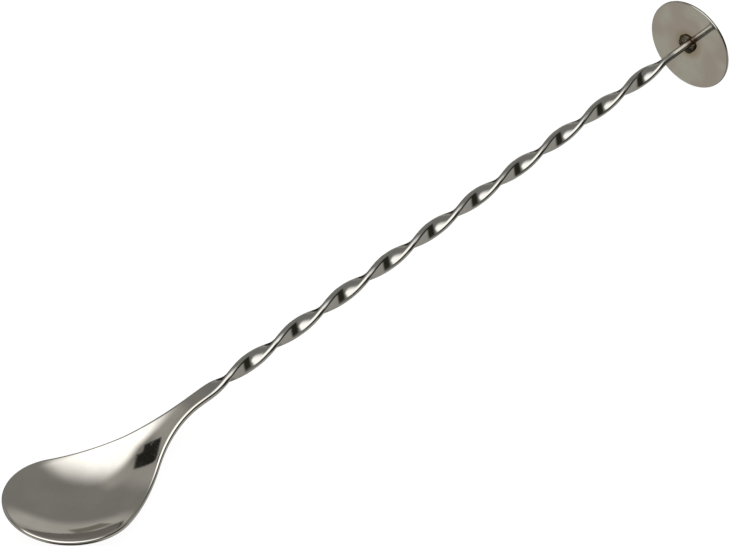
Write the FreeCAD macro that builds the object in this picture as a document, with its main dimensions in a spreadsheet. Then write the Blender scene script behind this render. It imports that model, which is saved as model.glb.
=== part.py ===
import FreeCAD, Part
import math
import os
import Sketcher

# Bar spoon with a twisted stem and a muddler disc.
# It is drawn along its stem: X runs from the bowl's tip (0) to the disc's outer face,
# Y goes across the bowl and Z goes up out of it, with the stem's axis at Z = 0.
# At the end the whole spoon is laid down so that bowl and disc both rest on Z = 0.

DRIVING_SIZES = [
    # the whole spoon, and how it lies at rest
    ("overall_length", 275.0),
    ("rest_tilt", 1.395),
    ("axis_lift", 11.917),
    # plan outline of the bowl, as tangent arcs
    ("nose_radius", 18.1),
    ("flank_radius", 123.5),
    ("flare_radius", 42.4),
    ("flare_start", 64.4),
    # side line of the bowl's floor, as tangent arcs
    ("lowest_point", 27.4),
    ("floor_drop", 8.4),
    ("floor_radius", 40.0),
    ("neck_radius", 50.2),
    ("toe_radius", 44.3),
    ("toe_slope", 45.0),
    ("toe_run_out", 2.0),
    # the pressed blank across the bowl
    ("dish_radius", 38.0),
    ("blank_half_width", 19.5),
    ("tip_thickness", 1.3),
    ("top_edge_round", 0.45),
    ("low_edge_round", 0.7),
    ("round_margin", 0.1),
    # how far the blank and the waste around it run past what is kept
    ("neck_overlap", 2.0),
    ("waste_margin", 12.0),
    # stem
    ("strip_width", 4.8),
    ("strip_thickness", 2.1),
    ("twist_start", 71.1),
    ("twist_pitch", 37.0),
    ("foot_length", 12.4),
    # muddler disc
    ("disc_diameter", 30.0),
    ("disc_thickness", 0.9),
    ("disc_edge_round", 0.25),
    ("disc_lean", 3.25),
    ("disc_shift", 0.4),
    # weld beads between the stem's foot and the disc
    ("upper_bead_reach", 2.4),
    ("lower_bead_reach", 1.9),
    ("bead_half_width", 2.1),
    ("bead_height", 2.3),
]

# shapes closer together than this touch
TOUCHING = 0.01

X_AXIS = FreeCAD.Vector(1, 0, 0)
Y_AXIS = FreeCAD.Vector(0, 1, 0)
Z_AXIS = FreeCAD.Vector(0, 0, 1)

doc = FreeCAD.newDocument("bar_spoon")
sheet = doc.addObject("Spreadsheet::Sheet", "sizes")
for row, (alias, value) in enumerate(DRIVING_SIZES, start=1):
    sheet.set("A%d" % row, alias)
    sheet.set("B%d" % row, str(value))
    sheet.setAlias("B%d" % row, alias)
doc.recompute()


def size(alias):
    """Return a driving dimension from the sheet as a plain number."""
    return float(sheet.get(alias))


def point(across, up):
    """Return a point of a sketch's own plane."""
    return FreeCAD.Vector(across, up, 0)


def polar(centre, radius, degrees):
    """Return the point of a circle at an angle."""
    angle = math.radians(degrees)
    return centre + point(radius * math.cos(angle), radius * math.sin(angle))


def new_sketch(body, name, role, offset=0.0, lean=0.0, rise=0.0):
    """Attach a sketch to one of the body's origin planes, moved off it, leant back and raised."""
    plane = [item for item in body.Origin.OriginFeatures if item.Role == role][0]
    sketch = body.newObject("Sketcher::SketchObject", name)
    sketch.AttachmentSupport = (plane, [""])
    sketch.MapMode = "FlatFace"
    turn = FreeCAD.Rotation(X_AXIS, lean)
    sketch.AttachmentOffset = FreeCAD.Placement(FreeCAD.Vector(0, rise, offset), turn)
    return sketch


def line(sketch, start, end):
    """Draw a line and return its number."""
    return sketch.addGeometry(Part.LineSegment(start, end))


def arc(sketch, centre, radius, from_degrees, to_degrees):
    """Draw an arc that runs anticlockwise and return its number."""
    circle = Part.Circle(centre, Z_AXIS, radius)
    start, end = math.radians(from_degrees), math.radians(to_degrees)
    return sketch.addGeometry(Part.ArcOfCircle(circle, start, end))


def constrain(sketch, *parts):
    """Add a constraint and return its number."""
    return sketch.addConstraint(Sketcher.Constraint(*parts))


def bind(sketch, formula, *parts):
    """Add a measured constraint and bind it to the sheet."""
    number = constrain(sketch, *parts)
    sketch.setExpression("Constraints[%d]" % number, formula)
    return number


START, END, CENTRE = 1, 2, 3
ORIGIN = (-1, 1)
ACROSS_AXIS, UP_AXIS = -1, -2


def floor_turn():
    """Angle through which the neck arc and the floor arc each turn."""
    return math.degrees(math.acos(1 - size("floor_drop") / (size("floor_radius") + size("neck_radius"))))


def draw_floor_line(body):
    """Side view of the bowl's floor: level neck, neck arc, floor arc, toe arc, run-out."""
    sketch = new_sketch(body, "floor_line", "XZ_Plane")
    turn, slope = floor_turn(), size("toe_slope")
    bend_run = (size("floor_radius") + size("neck_radius")) * math.sin(math.radians(turn))
    bend = point(size("lowest_point") + bend_run, 0)
    neck_centre = bend - point(0, size("neck_radius"))
    floor_centre = point(size("lowest_point"), size("floor_radius") - size("floor_drop"))
    toe_centre = point(size("lowest_point"), size("toe_radius") - size("floor_drop"))
    toe_end = polar(toe_centre, size("toe_radius"), 270 - slope)
    level = line(sketch, point(size("twist_start"), 0), bend)
    neck = arc(sketch, neck_centre, size("neck_radius"), 90, 90 + turn)
    floor = arc(sketch, floor_centre, size("floor_radius"), 270, 270 + turn)
    toe = arc(sketch, toe_centre, size("toe_radius"), 270 - slope, 270)
    run_out_end = polar(toe_end, size("toe_run_out"), 180 - slope)
    run_out = line(sketch, toe_end, run_out_end)
    constrain(sketch, "PointOnObject", level, START, ACROSS_AXIS)
    constrain(sketch, "PointOnObject", level, END, ACROSS_AXIS)
    constrain(sketch, "Tangent", level, END, neck, START)
    constrain(sketch, "Tangent", neck, END, floor, END)
    constrain(sketch, "Tangent", floor, START, toe, END)
    constrain(sketch, "Tangent", toe, START, run_out, START)
    constrain(sketch, "Vertical", floor, CENTRE, toe, END)
    bind(sketch, "sizes.twist_start", "DistanceX", *ORIGIN, level, START, size("twist_start"))
    bind(sketch, "sizes.lowest_point", "DistanceX", *ORIGIN, toe, CENTRE, size("lowest_point"))
    bind(sketch, "sizes.floor_drop", "DistanceY", toe, END, *ORIGIN, size("floor_drop"))
    bind(sketch, "sizes.neck_radius", "Radius", neck, size("neck_radius"))
    bind(sketch, "sizes.floor_radius", "Radius", floor, size("floor_radius"))
    bind(sketch, "sizes.toe_radius", "Radius", toe, size("toe_radius"))
    bind(sketch, "sizes.toe_run_out", "Distance", run_out, size("toe_run_out"))
    rise = size("toe_run_out") * math.sin(math.radians(slope))
    rise_formula = "sizes.toe_run_out * sin(sizes.toe_slope * 1 deg)"
    bind(sketch, rise_formula, "DistanceY", run_out, START, run_out, END, rise)
    return sketch, run_out_end


def draw_blank_section(sketch, thickness, formula):
    """Cross-section of the pressed blank: two concentric arcs closed by upright ends."""
    half_width, dish = size("blank_half_width"), size("dish_radius")
    centre = point(0, dish)
    radii = [dish - thickness / 2, dish + thickness / 2]
    arcs = []
    for radius in radii:
        swing = math.degrees(math.asin(half_width / radius))
        arcs.append(arc(sketch, centre, radius, 270 - swing, 270 + swing))
    inner, outer = arcs
    ends = []
    for side in (START, END):
        sign = -1 if side == START else 1
        lows = [dish - math.sqrt(radius ** 2 - half_width ** 2) for radius in radii]
        end = line(sketch, point(sign * half_width, lows[0]), point(sign * half_width, lows[1]))
        constrain(sketch, "Coincident", end, START, inner, side)
        constrain(sketch, "Coincident", end, END, outer, side)
        constrain(sketch, "Vertical", end)
        ends.append(end)
    constrain(sketch, "Coincident", inner, CENTRE, outer, CENTRE)
    constrain(sketch, "PointOnObject", inner, CENTRE, UP_AXIS)
    constrain(sketch, "Symmetric", inner, START, inner, END, UP_AXIS)
    bind(sketch, "sizes.dish_radius", "DistanceY", *ORIGIN, inner, CENTRE, dish)
    bind(sketch, "sizes.dish_radius - %s / 2" % formula, "Radius", inner, radii[0])
    bind(sketch, "sizes.dish_radius + %s / 2" % formula, "Radius", outer, radii[1])
    bind(sketch, "2 * sizes.blank_half_width", "DistanceX", inner, START, inner, END, 2 * half_width)


def outline_places():
    """Centres of the flare and flank arcs of the upper half outline, and where the arcs meet."""
    nose, flank, flare = size("nose_radius"), size("flank_radius"), size("flare_radius")
    nose_centre = point(nose, 0)
    flare_centre = point(size("flare_start"), size("strip_width") / 2 + flare)
    span = flare_centre - nose_centre
    near, far = flank - nose, flank + flare
    along = (near ** 2 - far ** 2 + span.Length ** 2) / (2 * span.Length)
    aside = math.sqrt(near ** 2 - along ** 2)
    way = span / span.Length
    flank_centre = nose_centre + way * along + point(way.y, -way.x) * aside
    flank_to_nose = nose_centre - flank_centre
    flank_to_flare = flare_centre - flank_centre
    nose_angle = math.degrees(math.atan2(flank_to_nose.y, flank_to_nose.x))
    flare_angle = math.degrees(math.atan2(flank_to_flare.y, flank_to_flare.x))
    return nose_centre, flare_centre, flank_centre, nose_angle, flare_angle


def draw_outline(body):
    """Plan outline of bowl and neck inside a frame, so that a pocket cuts all the waste away."""
    sketch = new_sketch(body, "outline", "XY_Plane")
    nose_centre, flare_centre, flank_centre, nose_angle, flare_angle = outline_places()
    half_strip, neck_end = size("strip_width") / 2, size("twist_start") + size("neck_overlap")
    mirrored = point(flare_centre.x, -flare_centre.y), point(flank_centre.x, -flank_centre.y)
    nose = arc(sketch, nose_centre, size("nose_radius"), nose_angle, 360 - nose_angle)
    upper_flank = arc(sketch, flank_centre, size("flank_radius"), flare_angle, nose_angle)
    lower_flank = arc(sketch, mirrored[1], size("flank_radius"), 360 - nose_angle, 360 - flare_angle)
    upper_flare = arc(sketch, flare_centre, size("flare_radius"), 180 + flare_angle, 270)
    lower_flare = arc(sketch, mirrored[0], size("flare_radius"), 90, 180 - flare_angle)
    upper_neck = line(sketch, point(size("flare_start"), half_strip), point(neck_end, half_strip))
    lower_neck = line(sketch, point(size("flare_start"), -half_strip), point(neck_end, -half_strip))
    closing = line(sketch, point(neck_end, half_strip), point(neck_end, -half_strip))
    constrain(sketch, "Tangent", nose, START, upper_flank, END)
    constrain(sketch, "Tangent", nose, END, lower_flank, START)
    constrain(sketch, "Tangent", upper_flank, START, upper_flare, START)
    constrain(sketch, "Tangent", lower_flank, END, lower_flare, END)
    constrain(sketch, "Tangent", upper_flare, END, upper_neck, START)
    constrain(sketch, "Tangent", lower_flare, START, lower_neck, START)
    constrain(sketch, "Coincident", upper_neck, END, closing, START)
    constrain(sketch, "Coincident", lower_neck, END, closing, END)
    constrain(sketch, "Horizontal", upper_neck)
    constrain(sketch, "Horizontal", lower_neck)
    constrain(sketch, "PointOnObject", nose, CENTRE, ACROSS_AXIS)
    constrain(sketch, "Symmetric", closing, START, closing, END, ACROSS_AXIS)
    constrain(sketch, "Vertical", upper_flare, END, lower_flare, START)
    constrain(sketch, "Equal", upper_flank, lower_flank)
    constrain(sketch, "Equal", upper_flare, lower_flare)
    bind(sketch, "sizes.nose_radius", "DistanceX", *ORIGIN, nose, CENTRE, size("nose_radius"))
    bind(sketch, "sizes.nose_radius", "Radius", nose, size("nose_radius"))
    bind(sketch, "sizes.flank_radius", "Radius", upper_flank, size("flank_radius"))
    bind(sketch, "sizes.flare_radius", "Radius", upper_flare, size("flare_radius"))
    bind(sketch, "sizes.flare_start", "DistanceX", *ORIGIN, upper_neck, START, size("flare_start"))
    neck_formula = "sizes.twist_start + sizes.neck_overlap"
    bind(sketch, neck_formula, "DistanceX", *ORIGIN, closing, START, neck_end)
    bind(sketch, "sizes.strip_width", "DistanceY", closing, END, closing, START, size("strip_width"))
    margin = size("waste_margin")
    aside = size("blank_half_width") + margin
    corners = [
        point(-margin, -aside),
        point(neck_end + margin, -aside),
        point(neck_end + margin, aside),
        point(-margin, aside),
    ]
    frame = [line(sketch, corners[index], corners[(index + 1) % 4]) for index in range(4)]
    for index in range(4):
        constrain(sketch, "Coincident", frame[index], END, frame[(index + 1) % 4], START)
        constrain(sketch, "Block", frame[index])
    return sketch


def draw_strip_section(sketch):
    """Cross-section of the strip: a flat bar with fully rounded edges."""
    radius = size("strip_thickness") / 2
    reach = size("strip_width") / 2 - radius
    low = line(sketch, point(-reach, -radius), point(reach, -radius))
    right = arc(sketch, point(reach, 0), radius, -90, 90)
    high = line(sketch, point(reach, radius), point(-reach, radius))
    left = arc(sketch, point(-reach, 0), radius, 90, 270)
    constrain(sketch, "Tangent", low, END, right, START)
    constrain(sketch, "Tangent", right, END, high, START)
    constrain(sketch, "Tangent", high, END, left, START)
    constrain(sketch, "Tangent", left, END, low, START)
    constrain(sketch, "Horizontal", low)
    constrain(sketch, "Symmetric", left, CENTRE, right, CENTRE, *ORIGIN)
    bind(sketch, "sizes.strip_thickness / 2", "Radius", right, radius)
    formula = "sizes.strip_width - sizes.strip_thickness"
    bind(sketch, formula, "DistanceX", left, CENTRE, right, CENTRE, 2 * reach)


def build_bowl_blank():
    """Bowl and neck: a dished sheet pressed along the floor line, then trimmed to the outline."""
    body = doc.addObject("PartDesign::Body", "bowl_blank")
    floor_line, toe_end = draw_floor_line(body)
    neck_section = new_sketch(body, "neck_section", "YZ_Plane", size("twist_start"))
    draw_blank_section(neck_section, size("strip_thickness"), "sizes.strip_thickness")
    toe_section = new_sketch(body, "toe_section", "YZ_Plane", toe_end.x, size("toe_slope"), toe_end.y)
    draw_blank_section(toe_section, size("tip_thickness"), "sizes.tip_thickness")
    doc.recompute()
    pressed = body.newObject("PartDesign::AdditivePipe", "pressed_sheet")
    pressed.Profile = neck_section
    pressed.Spine = (floor_line, ["Edge%d" % number for number in range(1, floor_line.GeometryCount + 1)])
    pressed.Transformation = "Multisection"
    pressed.Sections = [(toe_section, [""])]
    outline = draw_outline(body)
    doc.recompute()
    trimmed = body.newObject("PartDesign::Pocket", "trimmed_outline")
    trimmed.Profile = outline
    trimmed.Type = "ThroughAll"
    trimmed.Midplane = True
    doc.recompute()
    return body


def rim_rounds(shape):
    """Number and end radii of each rim edge: full rounds at the neck, fading to the bowl's own.
    Each rim is one chain of edges, which leaves the neck on the -Y side and comes back on the +Y
    side, and the two radii of an edge are given in the order of the chain."""
    full_round = size("strip_thickness") / 2 - size("round_margin")
    flare_centre, flare_angle = outline_places()[1], outline_places()[4]
    flare_end = polar(flare_centre, size("flare_radius"), 180 + flare_angle).x
    probe = size("low_edge_round") / 2
    edge_numbers = {edge.hashCode(): number for number, edge in enumerate(shape.Edges, start=1)}
    rounds = []
    for wall in shape.Faces:
        upright = wall.Surface.TypeId in ("Part::GeomCylinder", "Part::GeomPlane")
        if not upright or wall.BoundBox.XLength < size("strip_thickness"):
            continue
        for edge in wall.Edges:
            if edge.Curve.TypeId == "Part::GeomLine":
                continue
            start, end = edge.valueAt(edge.FirstParameter), edge.valueAt(edge.LastParameter)
            middle = edge.valueAt((edge.FirstParameter + edge.LastParameter) / 2)
            wall_is_below = wall.distToShape(Part.Vertex(middle - Z_AXIS * probe))[0] < TOUCHING
            bowl_round = size("top_edge_round") if wall_is_below else size("low_edge_round")
            radii = []
            for place in (start, end):
                share = (place.x - flare_end) / (size("flare_start") - flare_end)
                share = min(max(share, 0), 1)
                radii.append(round(bowl_round + (full_round - bowl_round) * share, 2))
            radii.sort(reverse=middle.y < 0)
            rounds.append((edge_numbers[edge.hashCode()], *radii))
    return rounds


def twist_length():
    """Length of the stem's twisted stretch."""
    outside = size("disc_thickness") + size("foot_length") + size("twist_start")
    return size("overall_length") - outside


def foot_turn():
    """Angle of the foot about the stem's axis, after the whole twist."""
    return -360 * twist_length() / size("twist_pitch")


def foot_end():
    """Frame at the middle of the foot's end: X out through the disc, Z out of a broad side.
    The disc is welded on a little out of square, so the frame leans in the strip's wide direction."""
    middle = X_AXIS * (size("overall_length") - size("disc_thickness"))
    turn = FreeCAD.Rotation(X_AXIS, foot_turn())
    return FreeCAD.Placement(middle, turn.multiply(FreeCAD.Rotation(Z_AXIS, size("disc_lean"))))


def build_stem():
    """Stem: the strip twisted about its own axis, then a straight foot that runs past the disc."""
    body = doc.addObject("PartDesign::Body", "stem")
    length_formula = (
        "sizes.overall_length - sizes.disc_thickness - sizes.foot_length - sizes.twist_start")
    section = new_sketch(body, "strip_section", "YZ_Plane", size("twist_start"))
    draw_strip_section(section)
    axis = new_sketch(body, "stem_axis", "XY_Plane")
    path_end = size("twist_start") + twist_length()
    path = line(axis, point(size("twist_start"), 0), point(path_end, 0))
    constrain(axis, "PointOnObject", path, START, ACROSS_AXIS)
    constrain(axis, "PointOnObject", path, END, ACROSS_AXIS)
    bind(axis, "sizes.twist_start", "DistanceX", *ORIGIN, path, START, size("twist_start"))
    bind(axis, length_formula, "DistanceX", path, START, path, END, twist_length())
    guide = doc.addObject("Part::Helix", "twist_guide")
    guide.LocalCoord = "Left-handed"
    guide.setExpression("Pitch", "sizes.twist_pitch")
    guide.setExpression("Height", length_formula)
    guide.setExpression("Radius", "sizes.strip_width")
    guide.Placement = FreeCAD.Placement(X_AXIS * size("twist_start"), FreeCAD.Rotation(Y_AXIS, 90))
    doc.recompute()
    twist = body.newObject("PartDesign::AdditivePipe", "twisted_strip")
    twist.Profile = section
    twist.Spine = (axis, ["Edge1"])
    twist.Mode = "Auxiliary"
    twist.AuxiliarySpine = (guide, ["Edge1"])
    doc.recompute()
    foot_section = new_sketch(body, "foot_section", "YZ_Plane")
    turn = FreeCAD.Rotation(Z_AXIS, foot_turn())
    foot_section.AttachmentOffset = FreeCAD.Placement(Z_AXIS * path_end, turn)
    draw_strip_section(foot_section)
    foot = body.newObject("PartDesign::Pad", "straight_foot")
    foot.Profile = foot_section
    foot.setExpression("Length", "sizes.foot_length + sizes.disc_thickness")
    doc.recompute()
    return body


def build_foot_waste():
    """Block that trims the foot's end flush with the leaning disc's inner face."""
    waste = doc.addObject("Part::Box", "foot_waste")
    waste.setExpression("Length", "3 * sizes.disc_thickness")
    waste.setExpression("Width", "2 * sizes.strip_width")
    waste.setExpression("Height", "2 * sizes.strip_width")
    corner = FreeCAD.Placement(FreeCAD.Vector(0, -size("strip_width"), -size("strip_width")),
                               FreeCAD.Rotation())
    waste.Placement = foot_end().multiply(corner)
    return waste


def build_spoon():
    """One flat bar, pressed into a bowl at one end and twisted along the rest."""
    blank = build_bowl_blank()
    rounded = doc.addObject("Part::Fillet", "rounded_bowl")
    rounded.Base = blank
    rounded.Edges = rim_rounds(blank.Shape)
    joined = doc.addObject("Part::Fuse", "bowl_and_stem")
    joined.Base = rounded
    joined.Tool = build_stem()
    spoon = doc.addObject("Part::Cut", "spoon")
    spoon.Label = "spoon_with_twisted_stem"
    spoon.Base = joined
    spoon.Tool = build_foot_waste()
    doc.recompute()
    return spoon


def build_disc():
    """Flat round muddler disc that closes the end of the stem, a little off its axis."""
    body = doc.addObject("PartDesign::Body", "disc")
    body.Label = "muddler_disc"
    section = new_sketch(body, "disc_section", "YZ_Plane")
    circle = section.addGeometry(Part.Circle(point(0, 0), Z_AXIS, size("disc_diameter") / 2))
    constrain(section, "Coincident", circle, CENTRE, *ORIGIN)
    bind(section, "sizes.disc_diameter", "Diameter", circle, size("disc_diameter"))
    plate = body.newObject("PartDesign::Pad", "plate")
    plate.Profile = section
    plate.setExpression("Length", "sizes.disc_thickness")
    doc.recompute()
    rims = [number for number, edge in enumerate(plate.Shape.Edges, start=1)
            if edge.Curve.TypeId == "Part::GeomCircle"]
    broken = body.newObject("PartDesign::Fillet", "broken_edges")
    broken.Base = (plate, ["Edge%d" % number for number in rims])
    broken.setExpression("Radius", "sizes.disc_edge_round")
    shift = FreeCAD.Placement(Z_AXIS * -size("disc_shift"), FreeCAD.Rotation())
    body.Placement = foot_end().multiply(shift)
    doc.recompute()
    return body


def build_bead(label, reach_alias, side):
    """Quarter of an ellipsoid of weld metal, against a broad side of the foot and the disc."""
    metal = doc.addObject("Part::Ellipsoid", label + "_metal")
    metal.setExpression("Radius1", "sizes." + reach_alias)
    metal.setExpression("Radius2", "sizes.bead_height")
    metal.setExpression("Radius3", "sizes.bead_half_width")
    corner = doc.addObject("Part::Box", label + "_corner")
    corner.setExpression("Length", "sizes.bead_height")
    corner.setExpression("Width", "2 * sizes.bead_half_width")
    corner.setExpression("Height", "sizes." + reach_alias)
    corner.setExpression("Placement.Base.y", "-sizes.bead_half_width")
    bead = doc.addObject("Part::Common", label)
    bead.Label = label
    bead.Base = metal
    bead.Tool = corner
    doc.recompute()
    facing = FreeCAD.Rotation(-X_AXIS, FreeCAD.Vector(), Z_AXIS * side, "XZY")
    seat = FreeCAD.Placement(Z_AXIS * side * (size("strip_thickness") / 2), facing)
    bead.Placement = foot_end().multiply(seat)
    return bead


def lay_down(item):
    """Centre a finished piece on the origin and lean it so that bowl and disc touch Z = 0."""
    lean = FreeCAD.Rotation(Y_AXIS, -size("rest_tilt"))
    middle = lean.multVec(X_AXIS) * (-size("overall_length") / 2) + Z_AXIS * size("axis_lift")
    item.Placement = FreeCAD.Placement(middle, lean).multiply(item.Placement)


def check(items):
    """Stop if any object failed or any piece's shape is missing or broken."""
    for item in doc.Objects:
        if "Invalid" in item.State or "Error" in item.State:
            raise RuntimeError("%s did not recompute" % item.Name)
    for item in items:
        if item.Shape.isNull() or not item.Shape.isValid():
            raise RuntimeError("%s has no sound shape" % item.Label)


pieces = [
    build_spoon(),
    build_disc(),
    build_bead("weld_bead_upper", "upper_bead_reach", 1),
    build_bead("weld_bead_lower", "lower_bead_reach", -1),
]
for piece in pieces:
    lay_down(piece)
doc.recompute()
check(pieces)
os.makedirs("parts", exist_ok=True)
for piece in pieces:
    piece.Shape.exportStep("parts/%s.step" % piece.Label)
    box = piece.Shape.BoundBox
    print(piece.Label, round(piece.Shape.Volume, 2), box)
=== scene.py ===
import math

import bmesh
import bpy
from mathutils import Matrix, Vector, noise


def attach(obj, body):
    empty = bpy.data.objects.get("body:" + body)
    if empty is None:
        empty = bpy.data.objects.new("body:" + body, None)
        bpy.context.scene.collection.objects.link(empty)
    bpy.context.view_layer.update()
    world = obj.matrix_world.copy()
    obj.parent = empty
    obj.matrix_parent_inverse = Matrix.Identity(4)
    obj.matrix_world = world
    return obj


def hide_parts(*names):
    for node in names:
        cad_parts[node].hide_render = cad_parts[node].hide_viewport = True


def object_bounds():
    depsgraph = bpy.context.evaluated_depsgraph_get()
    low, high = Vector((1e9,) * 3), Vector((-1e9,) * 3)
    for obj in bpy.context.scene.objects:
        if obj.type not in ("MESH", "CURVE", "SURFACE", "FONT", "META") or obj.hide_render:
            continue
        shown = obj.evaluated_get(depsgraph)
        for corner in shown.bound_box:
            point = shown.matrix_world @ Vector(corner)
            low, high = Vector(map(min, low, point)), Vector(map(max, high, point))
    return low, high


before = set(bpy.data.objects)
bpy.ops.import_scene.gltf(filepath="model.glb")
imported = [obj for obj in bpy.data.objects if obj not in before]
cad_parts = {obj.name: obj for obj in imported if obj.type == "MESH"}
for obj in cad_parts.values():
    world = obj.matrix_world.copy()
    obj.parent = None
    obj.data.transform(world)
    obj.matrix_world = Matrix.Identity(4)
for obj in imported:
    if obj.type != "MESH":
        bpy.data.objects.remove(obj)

# A stainless bar spoon. The visible pieces are finer meshes of the CAD pieces, of the same size
# but for a few edge rounds and the start and end of the twist. They are worked out in millimetres
# along the stem: X from the bowl's tip, Y across, Z up out of the bowl.

CAD_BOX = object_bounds()
MM = 0.001

# the whole spoon, and how it lies at rest
OVERALL_LENGTH = 275.0
REST_TILT = math.radians(1.395)
AXIS_LIFT = 11.917

# plan outline of the bowl
NOSE_RADIUS = 18.1
FLANK_RADIUS = 123.5
FLARE_RADIUS = 42.4
FLARE_START = 64.4

# side line of the bowl's floor
LOWEST_POINT = 27.4
FLOOR_DROP = 8.4
FLOOR_RADIUS = 40.0
NECK_RADIUS = 50.2
TOE_RADIUS = 44.3
TOE_SLOPE = math.radians(45.0)

# the pressed sheet
DISH_RADIUS = 38.0
TIP_THICKNESS = 1.3
TOP_EDGE_ROUND = 0.58
LOW_EDGE_ROUND = 0.7

# the strip that the stem is twisted from
STRIP_WIDTH = 4.8
STRIP_THICKNESS = 2.1
STRIP_ROUND = 0.92
TWIST_START = 71.1
TWIST_PITCH = 37.0
TWIST_EASE = 2.5
FOOT_LENGTH = 12.4

# muddler disc, which is welded on a little out of square and off the stem's axis
DISC_THICKNESS = 0.9
DISC_RADIUS = 15.0
DISC_EDGE_ROUND = 0.25
DISC_LEAN = math.radians(3.25)
DISC_SHIFT = 0.4

# weld beads: reach out from the strip, half width, height along the stem, and which broad side
BEAD_SIZES = {
    "weld_bead_upper": (2.4, 2.1, 2.3, 1),
    "weld_bead_lower": (1.9, 2.1, 2.3, -1),
}

# the beads' unevenness as a share of their size, lumps per radius, and how far they run into
# the disc and the strip
LARGE_LUMPS = 0.12
LARGE_LUMP_RATE = 1.7
SMALL_LUMPS = 0.05
SMALL_LUMP_RATE = 5.0
BEAD_SINK = 0.05

# distances from the weld, in metres, where the heat tint starts and ends fading
FOOT_TINT_FADE = (0.0022, 0.0042)
DISC_TINT_FADE = (0.0032, 0.0062)

# mesh fineness
ROW_POINTS = 31
ROUND_STEPS = 8
NOSE_RINGS = 48
BOWL_RING_STEP = 0.8
STEM_RING_STEP = 0.45
DISC_SIDES = 128
DISC_FACE_RINGS = 16
DISC_HUB_RADIUS = 0.02
BEAD_SUBDIVISIONS = 5
MERGE_DISTANCE = 1e-7

# passes after which the searches along the floor line and for a round's contact have settled
STATION_PASSES = 14
CONTACT_PASSES = 8

HALF_STRIP = STRIP_WIDTH / 2
HALF_LENGTH = OVERALL_LENGTH / 2
INNER_FACE = OVERALL_LENGTH - DISC_THICKNESS
TWIST_END = INNER_FACE - FOOT_LENGTH


def spoon_frame():
    """Matrix from the drawing's millimetres to the row frame, where bowl and disc touch Z = 0."""
    lean = Matrix.Rotation(-REST_TILT, 4, "Y")
    lift = Matrix.Translation((0, 0, AXIS_LIFT * MM))
    return lift @ lean @ Matrix.Scale(MM, 4) @ Matrix.Translation((-HALF_LENGTH, 0, 0))


SPOON = spoon_frame()


# ---------------------------------------------------------------- shape of the pressed bowl

FLOOR_TURN = math.acos(1 - FLOOR_DROP / (FLOOR_RADIUS + NECK_RADIUS))
FLOOR_END = LOWEST_POINT + FLOOR_RADIUS * math.sin(FLOOR_TURN)
BEND_START = LOWEST_POINT + (FLOOR_RADIUS + NECK_RADIUS) * math.sin(FLOOR_TURN)
TOE_END = LOWEST_POINT - TOE_RADIUS * math.sin(TOE_SLOPE)


def floor_line(x):
    """Height and slope of the bowl's floor at a station along the spoon."""
    if x >= BEND_START:
        return 0.0, 0.0
    if x >= FLOOR_END:
        slope = math.asin((BEND_START - x) / NECK_RADIUS)
        return -NECK_RADIUS * (1 - math.cos(slope)), slope
    if x >= LOWEST_POINT:
        slope = math.asin((x - LOWEST_POINT) / FLOOR_RADIUS)
        return FLOOR_RADIUS * (1 - math.cos(slope)) - FLOOR_DROP, slope
    if x >= TOE_END:
        slope = math.asin((LOWEST_POINT - x) / TOE_RADIUS)
        return TOE_RADIUS * (1 - math.cos(slope)) - FLOOR_DROP, -slope
    rise = TOE_RADIUS * (1 - math.cos(TOE_SLOPE)) + (TOE_END - x) * math.tan(TOE_SLOPE)
    return rise - FLOOR_DROP, -TOE_SLOPE


def sheet_surface(x, y, side):
    """Height and outward normal of the sheet's upper (side 1) or lower (side -1) skin."""
    share = min(max(x / TWIST_START, 0.0), 1.0)
    thickness = TIP_THICKNESS + (STRIP_THICKNESS - TIP_THICKNESS) * share
    radius = DISH_RADIUS - side * thickness / 2
    drop = math.sqrt(radius ** 2 - y ** 2)
    lift = DISH_RADIUS - drop
    station = x
    for _ in range(STATION_PASSES):
        height, slope = floor_line(station)
        station = x + math.sin(slope) * lift
    height, slope = floor_line(station)
    normal = Vector((-math.sin(slope) * drop, -y, math.cos(slope) * drop)) / radius
    return height + math.cos(slope) * lift, normal * side


def outline_centres():
    """Centres of the flare arc and the flank arc on the +Y side."""
    nose = Vector((NOSE_RADIUS, 0))
    flare = Vector((FLARE_START, HALF_STRIP + FLARE_RADIUS))
    span = flare - nose
    near, far = FLANK_RADIUS - NOSE_RADIUS, FLANK_RADIUS + FLARE_RADIUS
    along = (near ** 2 - far ** 2 + span.length_squared) / (2 * span.length)
    aside = math.sqrt(near ** 2 - along ** 2)
    way = span.normalized()
    return flare, nose + way * along + Vector((way.y, -way.x)) * aside


FLARE_CENTRE, FLANK_CENTRE = outline_centres()
FLANK_TO_NOSE = (Vector((NOSE_RADIUS, 0)) - FLANK_CENTRE).normalized()
FLANK_TO_FLARE = (FLARE_CENTRE - FLANK_CENTRE).normalized()
NOSE_END_TURN = math.atan2(FLANK_TO_NOSE.y, -FLANK_TO_NOSE.x)
NOSE_END = FLANK_CENTRE.x + FLANK_TO_NOSE.x * FLANK_RADIUS
FLARE_END = FLANK_CENTRE.x + FLANK_TO_FLARE.x * FLANK_RADIUS


def outline(x):
    """Point and outward normal of the +Y outline beyond the nose."""
    if x >= FLARE_START:
        return Vector((x, HALF_STRIP)), Vector((0, 1))
    if x >= FLARE_END:
        aside = math.sqrt(FLARE_RADIUS ** 2 - (FLARE_START - x) ** 2)
        place = Vector((x, FLARE_CENTRE.y - aside))
        return place, (FLARE_CENTRE - place).normalized()
    aside = math.sqrt(FLANK_RADIUS ** 2 - (x - FLANK_CENTRE.x) ** 2)
    place = Vector((x, FLANK_CENTRE.y + aside))
    return place, (place - FLANK_CENTRE).normalized()


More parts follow.
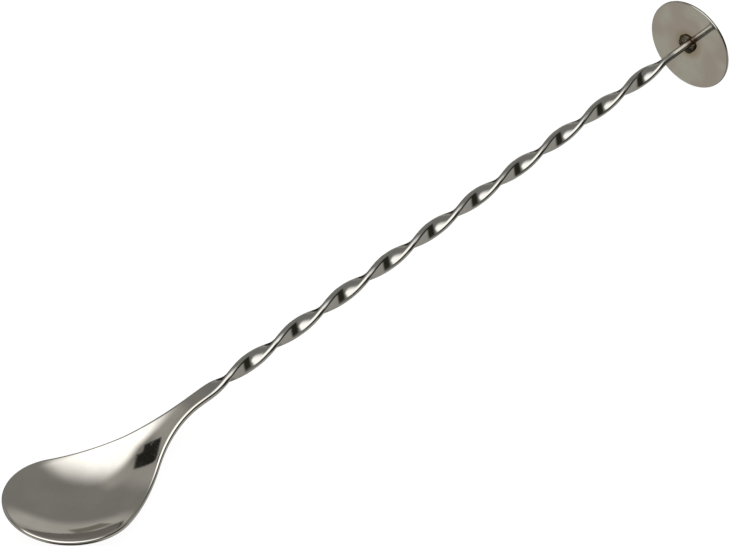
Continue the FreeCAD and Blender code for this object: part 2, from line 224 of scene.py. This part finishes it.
def rim_round(place, out, side, radius):
    """Rolling-ball round between a skin of the sheet and its upright edge, from skin to edge."""
    ball = place - out * radius
    contact = ball
    for _ in range(CONTACT_PASSES):
        height, normal = sheet_surface(contact.x, contact.y, side)
        contact = ball + normal.xy * radius
    centre = Vector((ball.x, ball.y, height - normal.z * radius))
    outward = Vector((out.x, out.y, 0))
    turn = normal.rotation_difference(outward)
    points = []
    for step in range(ROUND_STEPS + 1):
        swing = Matrix.Rotation(turn.angle * step / ROUND_STEPS, 3, turn.axis)
        points.append(centre + swing @ normal * radius)
    return points


def rim_radii(x):
    """Radii of the upper and lower edge rounds, which grow to nearly full rounds at the neck."""
    share = min(max((x - FLARE_END) / (FLARE_START - FLARE_END), 0.0), 1.0)
    upper = TOP_EDGE_ROUND + (STRIP_ROUND - TOP_EDGE_ROUND) * share
    lower = LOW_EDGE_ROUND + (STRIP_ROUND - LOW_EDGE_ROUND) * share
    return upper, lower


def bowl_edge(place, out):
    """The sheet's edge on the +Y side, from the upper skin round to the lower skin."""
    upper, lower = rim_radii(place.x)
    top = rim_round(place, out, 1, upper)
    low = rim_round(place, out, -1, lower)
    return top + low[::-1]


def skin_row(start, side):
    """Points across a skin of the sheet, between its +Y and -Y edges."""
    row = []
    for step in range(1, ROW_POINTS + 1):
        y = start.y * (1 - 2 * step / (ROW_POINTS + 1))
        height, _ = sheet_surface(start.x, y, side)
        row.append(Vector((start.x, y, height)))
    return row


def bowl_ring(place, out):
    """One closed cross-section of the bowl, from the +Y edge round under it and back over the top."""
    edge = bowl_edge(place, out)
    mirrored = [Vector((p.x, -p.y, p.z)) for p in edge]
    return edge + skin_row(edge[-1], -1) + mirrored[::-1] + skin_row(edge[0], 1)[::-1]


# ---------------------------------------------------------------- shape of the twisted stem

def twist_angle(x):
    """Angle of the strip about the stem's axis; the twist eases in and out over a short length."""
    rate = -2 * math.pi / TWIST_PITCH

    def eased(run):
        if run <= -TWIST_EASE:
            return 0.0
        if run >= TWIST_EASE:
            return run
        return (run + TWIST_EASE) ** 2 / (4 * TWIST_EASE)

    return rate * (eased(x - TWIST_START) - eased(x - TWIST_END))


def foot_end():
    """Matrix at the middle of the foot's end: X out through the disc, Z out of a broad side."""
    turn = Matrix.Rotation(twist_angle(INNER_FACE), 4, "X")
    lean = Matrix.Rotation(DISC_LEAN, 4, "Z")
    return Matrix.Translation((INNER_FACE, 0, 0)) @ turn @ lean


def strip_ring(x):
    """One closed cross-section of the strip, with as many points as the bowl's."""
    reach = HALF_STRIP - STRIP_ROUND
    rise = STRIP_THICKNESS / 2 - STRIP_ROUND
    edge = []
    for middle, start in ((rise, math.pi / 2), (-rise, 0.0)):
        for step in range(ROUND_STEPS + 1):
            angle = start - math.pi / 2 * step / ROUND_STEPS
            across = reach + STRIP_ROUND * math.cos(angle)
            edge.append(Vector((x, across, middle + STRIP_ROUND * math.sin(angle))))
    low = []
    for step in range(1, ROW_POINTS + 1):
        low.append(Vector((x, reach * (1 - 2 * step / (ROW_POINTS + 1)), -STRIP_THICKNESS / 2)))
    top = [Vector((x, p.y, -p.z)) for p in low]
    mirrored = [Vector((p.x, -p.y, p.z)) for p in edge]
    turn = Matrix.Rotation(twist_angle(x), 3, "X")
    return [turn @ p for p in edge + low + mirrored[::-1] + top[::-1]]


def smooth_step(value):
    """0 below 0, 1 above 1, and a smooth curve between."""
    value = min(max(value, 0.0), 1.0)
    return value * value * (3 - 2 * value)


def spoon_rings():
    """Cross-sections of the spoon from the bowl's tip to the stem's foot."""
    rings = []
    for step in range(NOSE_RINGS):
        turn = NOSE_END_TURN * step / NOSE_RINGS
        out = Vector((-math.cos(turn), math.sin(turn)))
        rings.append(bowl_ring(Vector((NOSE_RADIUS, 0)) + out * NOSE_RADIUS, out))
    steps = math.ceil((FLARE_START - NOSE_END) / BOWL_RING_STEP)
    for step in range(steps):
        x = NOSE_END + (FLARE_START - NOSE_END) * step / steps
        rings.append(bowl_ring(*outline(x)))
    steps = math.ceil((INNER_FACE - FLARE_START) / STEM_RING_STEP)
    for step in range(steps + 1):
        x = FLARE_START + (INNER_FACE - FLARE_START) * step / steps
        share = smooth_step((x - FLARE_START) / (TWIST_START - TWIST_EASE - FLARE_START))
        ring = strip_ring(x)
        if share < 1:
            neck = bowl_ring(*outline(x))
            ring = [a.lerp(b, share) for a, b in zip(neck, ring)]
        rings.append(ring)
    return rings


# ---------------------------------------------------------------- meshes

def mesh_object(name, shape, node, material):
    """Turn a bmesh in drawing millimetres into a smooth piece that stands for a CAD node."""
    shape.transform(SPOON)
    bmesh.ops.remove_doubles(shape, verts=shape.verts, dist=MERGE_DISTANCE)
    bmesh.ops.recalc_face_normals(shape, faces=shape.faces)
    mesh = bpy.data.meshes.new(name)
    shape.to_mesh(mesh)
    shape.free()
    mesh.polygons.foreach_set("use_smooth", [True] * len(mesh.polygons))
    piece = bpy.data.objects.new(name, mesh)
    bpy.context.scene.collection.objects.link(piece)
    mesh.materials.append(material)
    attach(piece, "root")
    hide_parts(node)


def loft(rings, closed_start=False, closed_end=False):
    """Join rings of points into a tube of quads."""
    shape = bmesh.new()
    rows = [[shape.verts.new(p) for p in ring] for ring in rings]
    count = len(rows[0])
    for here, ahead in zip(rows, rows[1:]):
        for index in range(count):
            after = (index + 1) % count
            shape.faces.new((here[index], here[after], ahead[after], ahead[index]))
    if closed_start:
        shape.faces.new(rows[0][::-1])
    if closed_end:
        shape.faces.new(rows[-1])
    return shape


def disc_rings():
    """Rings of the muddler disc, from the middle of its inner face round to its outer face."""
    place = foot_end() @ Matrix.Translation((0, 0, -DISC_SHIFT))
    inner_radius = DISC_RADIUS - DISC_EDGE_ROUND
    face_radii = [DISC_HUB_RADIUS]
    for step in range(1, DISC_FACE_RINGS):
        face_radii.append(inner_radius * step / DISC_FACE_RINGS)
    profile = [(0.0, radius) for radius in face_radii]
    for middle, start in ((DISC_EDGE_ROUND, 0.0), (DISC_THICKNESS - DISC_EDGE_ROUND, 1.0)):
        for step in range(ROUND_STEPS + 1):
            angle = math.pi / 2 * (start + step / ROUND_STEPS)
            x = middle - DISC_EDGE_ROUND * math.cos(angle)
            profile.append((x, inner_radius + DISC_EDGE_ROUND * math.sin(angle)))
    profile += [(DISC_THICKNESS, radius) for radius in face_radii[::-1]]
    rings = []
    for x, radius in profile:
        ring = []
        for step in range(DISC_SIDES):
            angle = 2 * math.pi * step / DISC_SIDES
            point = Vector((x, radius * math.cos(angle), radius * math.sin(angle)))
            ring.append(place @ point)
        rings.append(ring)
    return rings


def bead_shape(reach, half_width, height, side):
    """An uneven lump of weld metal in the corner between the strip's broad side and the disc."""
    shape = bmesh.new()
    bmesh.ops.create_icosphere(shape, subdivisions=BEAD_SUBDIVISIONS, radius=1.0)
    place = foot_end()
    for vert in shape.verts:
        swell = 1 + LARGE_LUMPS * noise.noise(vert.co * LARGE_LUMP_RATE + Vector((side, 0, 0)))
        swell += SMALL_LUMPS * noise.noise(vert.co * SMALL_LUMP_RATE)
        x = min(vert.co.x * height * swell, BEAD_SINK)
        z = max(vert.co.z * reach * swell, -BEAD_SINK)
        local = Vector((x, vert.co.y * half_width * swell, (z + STRIP_THICKNESS / 2) * side))
        vert.co = place @ local
    return shape


# ---------------------------------------------------------------- node trees

class Graph:
    """Short calls for building a node tree."""

    def __init__(self, tree):
        tree.nodes.clear()
        self.tree = tree

    def node(self, kind, inputs, **settings):
        """Add a node, set its settings, and fill or link its inputs."""
        node = self.tree.nodes.new("ShaderNode" + kind)
        for name, value in settings.items():
            setattr(node, name, value)
        for key, value in inputs.items():
            if isinstance(value, bpy.types.NodeSocket):
                self.tree.links.new(value, node.inputs[key])
            else:
                node.inputs[key].default_value = value
        return node

    def math(self, operation, first, second=0.0):
        """One step of arithmetic."""
        return self.node("Math", {0: first, 1: second}, operation=operation).outputs[0]

    def dot(self, vector, axis):
        """Length of a vector along a fixed axis."""
        node = self.node("VectorMath", {0: vector, 1: axis}, operation="DOT_PRODUCT")
        return node.outputs["Value"]

    def fade(self, value, low, high, at_low=0.0, at_high=1.0):
        """Smooth change from one number to another between two values."""
        inputs = {"Value": value, "From Min": low, "From Max": high,
                  "To Min": at_low, "To Max": at_high}
        return self.node("MapRange", inputs, interpolation_type="SMOOTHSTEP").outputs["Result"]

    def blend(self, share, first, second):
        """Mix of two colours."""
        mix = self.node("Mix", {"Factor": share}, data_type="RGBA")
        for socket, colour in zip((mix.inputs[6], mix.inputs[7]), (first, second)):
            if isinstance(colour, bpy.types.NodeSocket):
                self.tree.links.new(colour, socket)
            else:
                socket.default_value = (*colour, 1)
        return mix.outputs[2]

    def clouds(self, vector, stretch, detail=3.0, roughness=0.55):
        """Noise with its own number of lumps per metre along each axis."""
        place = self.node("Mapping", {"Vector": vector, "Scale": stretch})
        inputs = {"Vector": place.outputs[0], "Scale": 1.0,
                  "Detail": detail, "Roughness": roughness}
        return self.node("TexNoise", inputs).outputs["Fac"]

    def bump(self, height, strength, depth, under=None):
        """Fine relief, laid over other relief where there is some."""
        inputs = {"Height": height, "Strength": strength, "Distance": depth}
        if under is not None:
            inputs["Normal"] = under
        return self.node("Bump", inputs).outputs["Normal"]


# ---------------------------------------------------------------- materials

def new_material(name):
    """An empty node material and the place that its pattern is measured from."""
    material = bpy.data.materials.new(name)
    material.use_nodes = True
    graph = Graph(material.node_tree)
    return material, graph, graph.node("TexCoord", {}).outputs["Object"]


def weld_distance(graph, place):
    """Distance from the middle of the foot's end, where the weld is."""
    middle = SPOON @ foot_end().translation
    return graph.node("VectorMath", {0: place, 1: middle}, operation="DISTANCE").outputs["Value"]


def finish_material(graph, inputs):
    """Join the surface shader to the output."""
    shader = graph.node("BsdfPrincipled", inputs)
    graph.node("OutputMaterial", {"Surface": shader.outputs[0]})


def polished_steel():
    """Machine-polished stainless: almost a mirror, with smudges, hairline scratches and ripples."""
    material, graph, place = new_material("polished_steel")
    along = graph.node("SeparateXYZ", {"Vector": place}).outputs["X"]
    stem = graph.fade(along, (FLARE_START - HALF_LENGTH) * MM, (TWIST_START - HALF_LENGTH) * MM)
    smudges = graph.clouds(place, (95, 95, 95), 4.0)
    specks = graph.clouds(place, (900, 900, 900), 2.0)
    hairlines = graph.clouds(place, (150, 3200, 3200), 2.0)
    cross_lines = graph.clouds(place, (2600, 160, 900), 2.0)
    scratches = graph.math("MAXIMUM", graph.fade(hairlines, 0.62, 0.76),
                           graph.fade(cross_lines, 0.66, 0.8))
    ripples = graph.clouds(place, (140, 140, 140), 1.0)
    pits = graph.clouds(place, (1100, 2100, 2100), 3.0)
    worn = graph.fade(graph.node("NewGeometry", {}).outputs["Pointiness"], 0.5, 0.56)
    clean = graph.blend(graph.fade(smudges, 0.35, 0.68),
                        (0.64, 0.62, 0.585), (0.585, 0.565, 0.525))
    dusty = graph.blend(graph.fade(specks, 0.6, 0.8, 0.0, 0.35), clean, (0.52, 0.49, 0.44))
    duller = graph.blend(graph.math("MULTIPLY", stem, 0.75), dusty, (0.5, 0.495, 0.475))
    edged = graph.blend(graph.math("MULTIPLY", worn, 0.5), duller, (0.72, 0.7, 0.67))
    heat = graph.fade(weld_distance(graph, place), *FOOT_TINT_FADE, 0.85, 0.0)
    colour = graph.blend(heat, edged, (0.12, 0.1, 0.075))
    haze = graph.fade(smudges, 0.4, 0.72, 0.03, 0.09)
    roughness = graph.math("ADD", haze, graph.math("MULTIPLY", scratches, 0.1))
    roughness = graph.math("ADD", roughness, graph.math("MULTIPLY", stem, 0.07))
    relief = graph.bump(ripples, 0.3, 0.00005)
    relief = graph.bump(scratches, 0.1, 0.00001, relief)
    relief = graph.bump(graph.math("MULTIPLY", pits, stem), 0.5, 0.00002, relief)
    finish_material(graph, {"Base Color": colour, "Metallic": 1.0, "Roughness": roughness,
                            "Normal": relief})
    return material


def disc_steel():
    """Satin stainless sheet, brushed one way, with a faint straw tint near the weld."""
    material, graph, place = new_material("disc_steel")
    smudges = graph.clouds(place, (130, 130, 130), 4.0)
    brushing = graph.clouds(place, (500, 260, 5200), 2.0)
    grain = graph.clouds(place, (1500, 1500, 1500), 2.0)
    tint = graph.clouds(place, (80, 80, 80), 1.0)
    base = graph.blend(graph.fade(tint, 0.42, 0.58),
                       (0.63, 0.628, 0.572), (0.56, 0.495, 0.465))
    base = graph.blend(graph.fade(smudges, 0.3, 0.7, 0.0, 0.6), base, (0.535, 0.51, 0.455))
    base = graph.blend(graph.fade(brushing, 0.35, 0.75, 0.0, 0.3), base, (0.52, 0.5, 0.46))
    heat = graph.fade(weld_distance(graph, place), *DISC_TINT_FADE, 0.75, 0.0)
    colour = graph.blend(heat, base, (0.42, 0.34, 0.24))
    haze = graph.fade(smudges, 0.35, 0.7, 0.06, 0.12)
    roughness = graph.math("ADD", haze, graph.math("MULTIPLY", brushing, 0.03))
    relief = graph.bump(brushing, 0.05, 0.00001)
    relief = graph.bump(grain, 0.03, 0.00001, relief)
    finish_material(graph, {"Base Color": colour, "Metallic": 1.0, "Roughness": roughness,
                            "Normal": relief})
    return material


def weld_metal():
    """Weld metal left as it cooled: dark, brownish and lumpy, with a little bare steel."""
    material, graph, place = new_material("weld_metal")
    lumps = graph.clouds(place, (1300, 1300, 1300), 4.0)
    scale = graph.clouds(place, (3600, 3600, 3600), 3.0)
    oxide = graph.blend(graph.fade(lumps, 0.35, 0.65),
                        (0.05, 0.043, 0.03), (0.11, 0.095, 0.07))
    colour = graph.blend(graph.fade(scale, 0.62, 0.74, 0.0, 0.4), oxide, (0.3, 0.28, 0.24))
    roughness = graph.fade(scale, 0.3, 0.7, 0.32, 0.6)
    relief = graph.bump(lumps, 0.6, 0.0001)
    relief = graph.bump(scale, 0.4, 0.00003, relief)
    finish_material(graph, {"Base Color": colour, "Metallic": 0.85, "Roughness": roughness,
                            "Normal": relief})
    return material


POLISHED = polished_steel()
DISC_STEEL = disc_steel()
WELD = weld_metal()


# ---------------------------------------------------------------- the pieces

mesh_object("spoon_skin", loft(spoon_rings(), closed_end=True),
            "spoon_with_twisted_stem", POLISHED)
mesh_object("disc_skin", loft(disc_rings(), closed_start=True, closed_end=True),
            "muddler_disc", DISC_STEEL)
for bead, (reach, half_width, height, side) in BEAD_SIZES.items():
    mesh_object(bead + "_skin", bead_shape(reach, half_width, height, side),
                bead, WELD)


# ---------------------------------------------------------------- stage, light and camera

# camera at the photograph's viewing angle: degrees, millimetres for lens and sensor, else metres
CAMERA_AZIMUTH = -43.241
CAMERA_ELEVATION = 42.486
CAMERA_ROLL = -2.464
CAMERA_AIM = Vector((-0.004844, 0.001485, AXIS_LIFT * MM))
CAMERA_DISTANCE = 0.84216
CAMERA_LENS = 143.63
CAMERA_SENSOR = 36.0

# edges of the overhead box: which way, then where it starts and ends fading, per unit of height
OVERHEAD_EDGES = [
    (35, 0.05, 0.68),
    (0, 0.45, 0.85),
    (90, 0.48, 0.68),
    (-90, 0.65, 1.2),
    (180, 0.9, 1.4),
]

# walls of the room from straight below to straight above, with painted shade at the bottom: share of
# the way up, and colour
WALLS = [
    # painted shade: this dark stop straight below stands for the spoon's own shadow on the floor
    # under it, which the lower edge rounds reflect
    (0.02, (0.05, 0.047, 0.04)),
    (0.05, (0.42, 0.41, 0.38)),
    (0.25, (0.34, 0.33, 0.305)),
    (0.46, (0.32, 0.31, 0.288)),
    (0.55, (0.27, 0.263, 0.249)),
    (1.0, (0.27, 0.263, 0.249)),
]

# panels in the room, one of them painted shade: centre, width, height, softness, turn, colour
PANELS = [
    ((-58, -40), 70, 48, 9, 0, (0.46, 0.45, 0.42)),
    # painted shade: this dark panel low on the camera's side stands for the spoon's own shadow on the
    # pale floor beside the bowl, which the bowl's near wall reflects
    ((-130, -42), 66, 46, 6, 0, (0.05, 0.046, 0.033)),
    ((155, -30), 56, 44, 7, 0, (0.49, 0.468, 0.42)),
    ((-54, 12), 58, 42, 7, 0, (0.03, 0.029, 0.02)),
    ((-148, 36), 52, 44, 7, 0, (0.03, 0.028, 0.024)),
    ((45, 4), 42, 20, 6, 0, (0.5, 0.487, 0.455)),
    ((95, 38), 18, 34, 7, 0, (0.42, 0.41, 0.385)),
    ((84, 55), 22, 12, 5, 0, (0.44, 0.43, 0.4)),
    ((53.5, 4), 12, 7, 0.8, 30, (0.215, 0.208, 0.175)),
    ((64, -40), 46, 56, 5, 0, (0.03, 0.028, 0.024)),
    ((74, -16), 34, 34, 3, 0, (0.03, 0.028, 0.024)),
]

OVERHEAD_LIGHT = (1.9, 1.88, 1.84)

# small sharp flag in front of the overhead box: as for a panel
FLAG = ((110, 44), 12, 16, 0.5, 15, (0.02, 0.02, 0.018))

# floor: in metres, then how much it glows by itself and how much light it scatters
FLOOR_HALF_SIZE = 3.0
FLOOR_GAP = 0.0002
FLOOR_GLOW = 0.95
FLOOR_SCATTER = 0.1


def build_camera():
    """Camera at the photograph's viewing angle."""
    azimuth = math.radians(CAMERA_AZIMUTH)
    elevation = math.radians(CAMERA_ELEVATION)
    roll = math.radians(CAMERA_ROLL)
    back = Vector((math.sin(azimuth) * math.cos(elevation),
                   -math.cos(azimuth) * math.cos(elevation), math.sin(elevation)))
    data = bpy.data.cameras.new("camera")
    data.sensor_width = CAMERA_SENSOR
    data.lens = CAMERA_LENS
    camera = bpy.data.objects.new("camera", data)
    camera.rotation_mode = "QUATERNION"
    camera.location = CAMERA_AIM + back * CAMERA_DISTANCE
    upright = (-back).to_track_quat("-Z", "Y").to_matrix()
    camera.rotation_quaternion = (upright @ Matrix.Rotation(roll, 3, "Z")).to_quaternion()
    bpy.context.scene.collection.objects.link(camera)
    bpy.context.scene.camera = camera


def facing(azimuth, elevation):
    """Unit vector towards a place in the surroundings, from degrees about +X and above level."""
    azimuth, elevation = math.radians(azimuth), math.radians(elevation)
    level = math.cos(elevation)
    return Vector((level * math.cos(azimuth), level * math.sin(azimuth), math.sin(elevation)))


def panel(graph, way, centre, width, height, softness, turn):
    """Mask of a soft-edged rectangular panel that faces the spoon; its sizes are in degrees."""
    middle = facing(*centre)
    side = Vector((-middle.y, middle.x, 0)).normalized()
    rise = middle.cross(side)
    swing = Matrix.Rotation(math.radians(turn), 3, middle)
    ahead = graph.dot(way, middle)
    mask = graph.fade(ahead, 0.0, 0.1)
    for axis, reach in ((swing @ side, width / 2), (swing @ rise, height / 2)):
        aside = graph.math("ABSOLUTE", graph.math("DIVIDE", graph.dot(way, axis), ahead))
        outer = math.tan(math.radians(reach + softness))
        inner = math.tan(math.radians(reach - softness))
        mask = graph.math("MULTIPLY", mask, graph.fade(aside, inner, outer, 1.0, 0.0))
    return mask


def overhead_box(graph, way):
    """Mask of the large soft box over the spoon, with its own soft edge on each side."""
    height = graph.dot(way, (0, 0, 1))
    mask = graph.fade(height, 0.0, 0.2)
    for azimuth, inner, outer in OVERHEAD_EDGES:
        reach = graph.math("DIVIDE", graph.dot(way, facing(azimuth, 0)), height)
        mask = graph.math("MULTIPLY", mask, graph.fade(reach, inner, outer, 1.0, 0.0))
    return mask


def build_world():
    """Plain soft studio: grey walls, one large soft box overhead and a few panels and flags, with
    painted shade straight below and low beside the bowl for the spoon's own shadow on the floor.
    """
    world = bpy.data.worlds.new("studio")
    world.use_nodes = True
    graph = Graph(world.node_tree)
    way = graph.node("TexCoord", {}).outputs["Generated"]
    rise = graph.math("MULTIPLY", graph.math("ADD", graph.dot(way, (0, 0, 1)), 1.0), 0.5)
    ramp = graph.node("ValToRGB", {"Fac": rise})
    stops = ramp.color_ramp.elements
    while len(stops) < len(WALLS):
        stops.new(0.5)
    for stop, (position, colour) in zip(stops, WALLS):
        stop.position = position
        stop.color = (*colour, 1)
    light = ramp.outputs["Color"]
    for *shape, colour in PANELS:
        light = graph.blend(panel(graph, way, *shape), light, colour)
    light = graph.blend(overhead_box(graph, way), light, OVERHEAD_LIGHT)
    *shape, colour = FLAG
    light = graph.blend(panel(graph, way, *shape), light, colour)
    seen = graph.node("LightPath", {}).outputs["Is Camera Ray"]
    light = graph.blend(seen, light, (1.0, 1.0, 1.0))
    background = graph.node("Background", {"Color": light, "Strength": 1.0})
    graph.node("OutputWorld", {"Surface": background.outputs[0]})
    bpy.context.scene.world = world


def build_floor():
    """Plain pale floor that glows enough to leave hardly any shadow."""
    shape = bmesh.new()
    bmesh.ops.create_grid(shape, x_segments=1, y_segments=1, size=FLOOR_HALF_SIZE)
    mesh = bpy.data.meshes.new("floor")
    shape.to_mesh(mesh)
    shape.free()
    floor = bpy.data.objects.new("floor", mesh)
    floor.location = (0, 0, CAD_BOX[0][2] - FLOOR_GAP)
    floor.visible_glossy = False
    bpy.context.scene.collection.objects.link(floor)
    material = bpy.data.materials.new("floor")
    material.use_nodes = True
    graph = Graph(material.node_tree)
    glow = graph.node("Emission", {"Color": (1, 1, 1, 1), "Strength": FLOOR_GLOW})
    matt = graph.node("BsdfDiffuse", {"Color": (FLOOR_SCATTER, FLOOR_SCATTER, FLOOR_SCATTER, 1)})
    both = graph.node("AddShader", {0: glow.outputs[0], 1: matt.outputs[0]})
    graph.node("OutputMaterial", {"Surface": both.outputs[0]})
    mesh.materials.append(material)


build_camera()
build_world()
build_floor()
bpy.context.scene.view_settings.view_transform = "Standard"
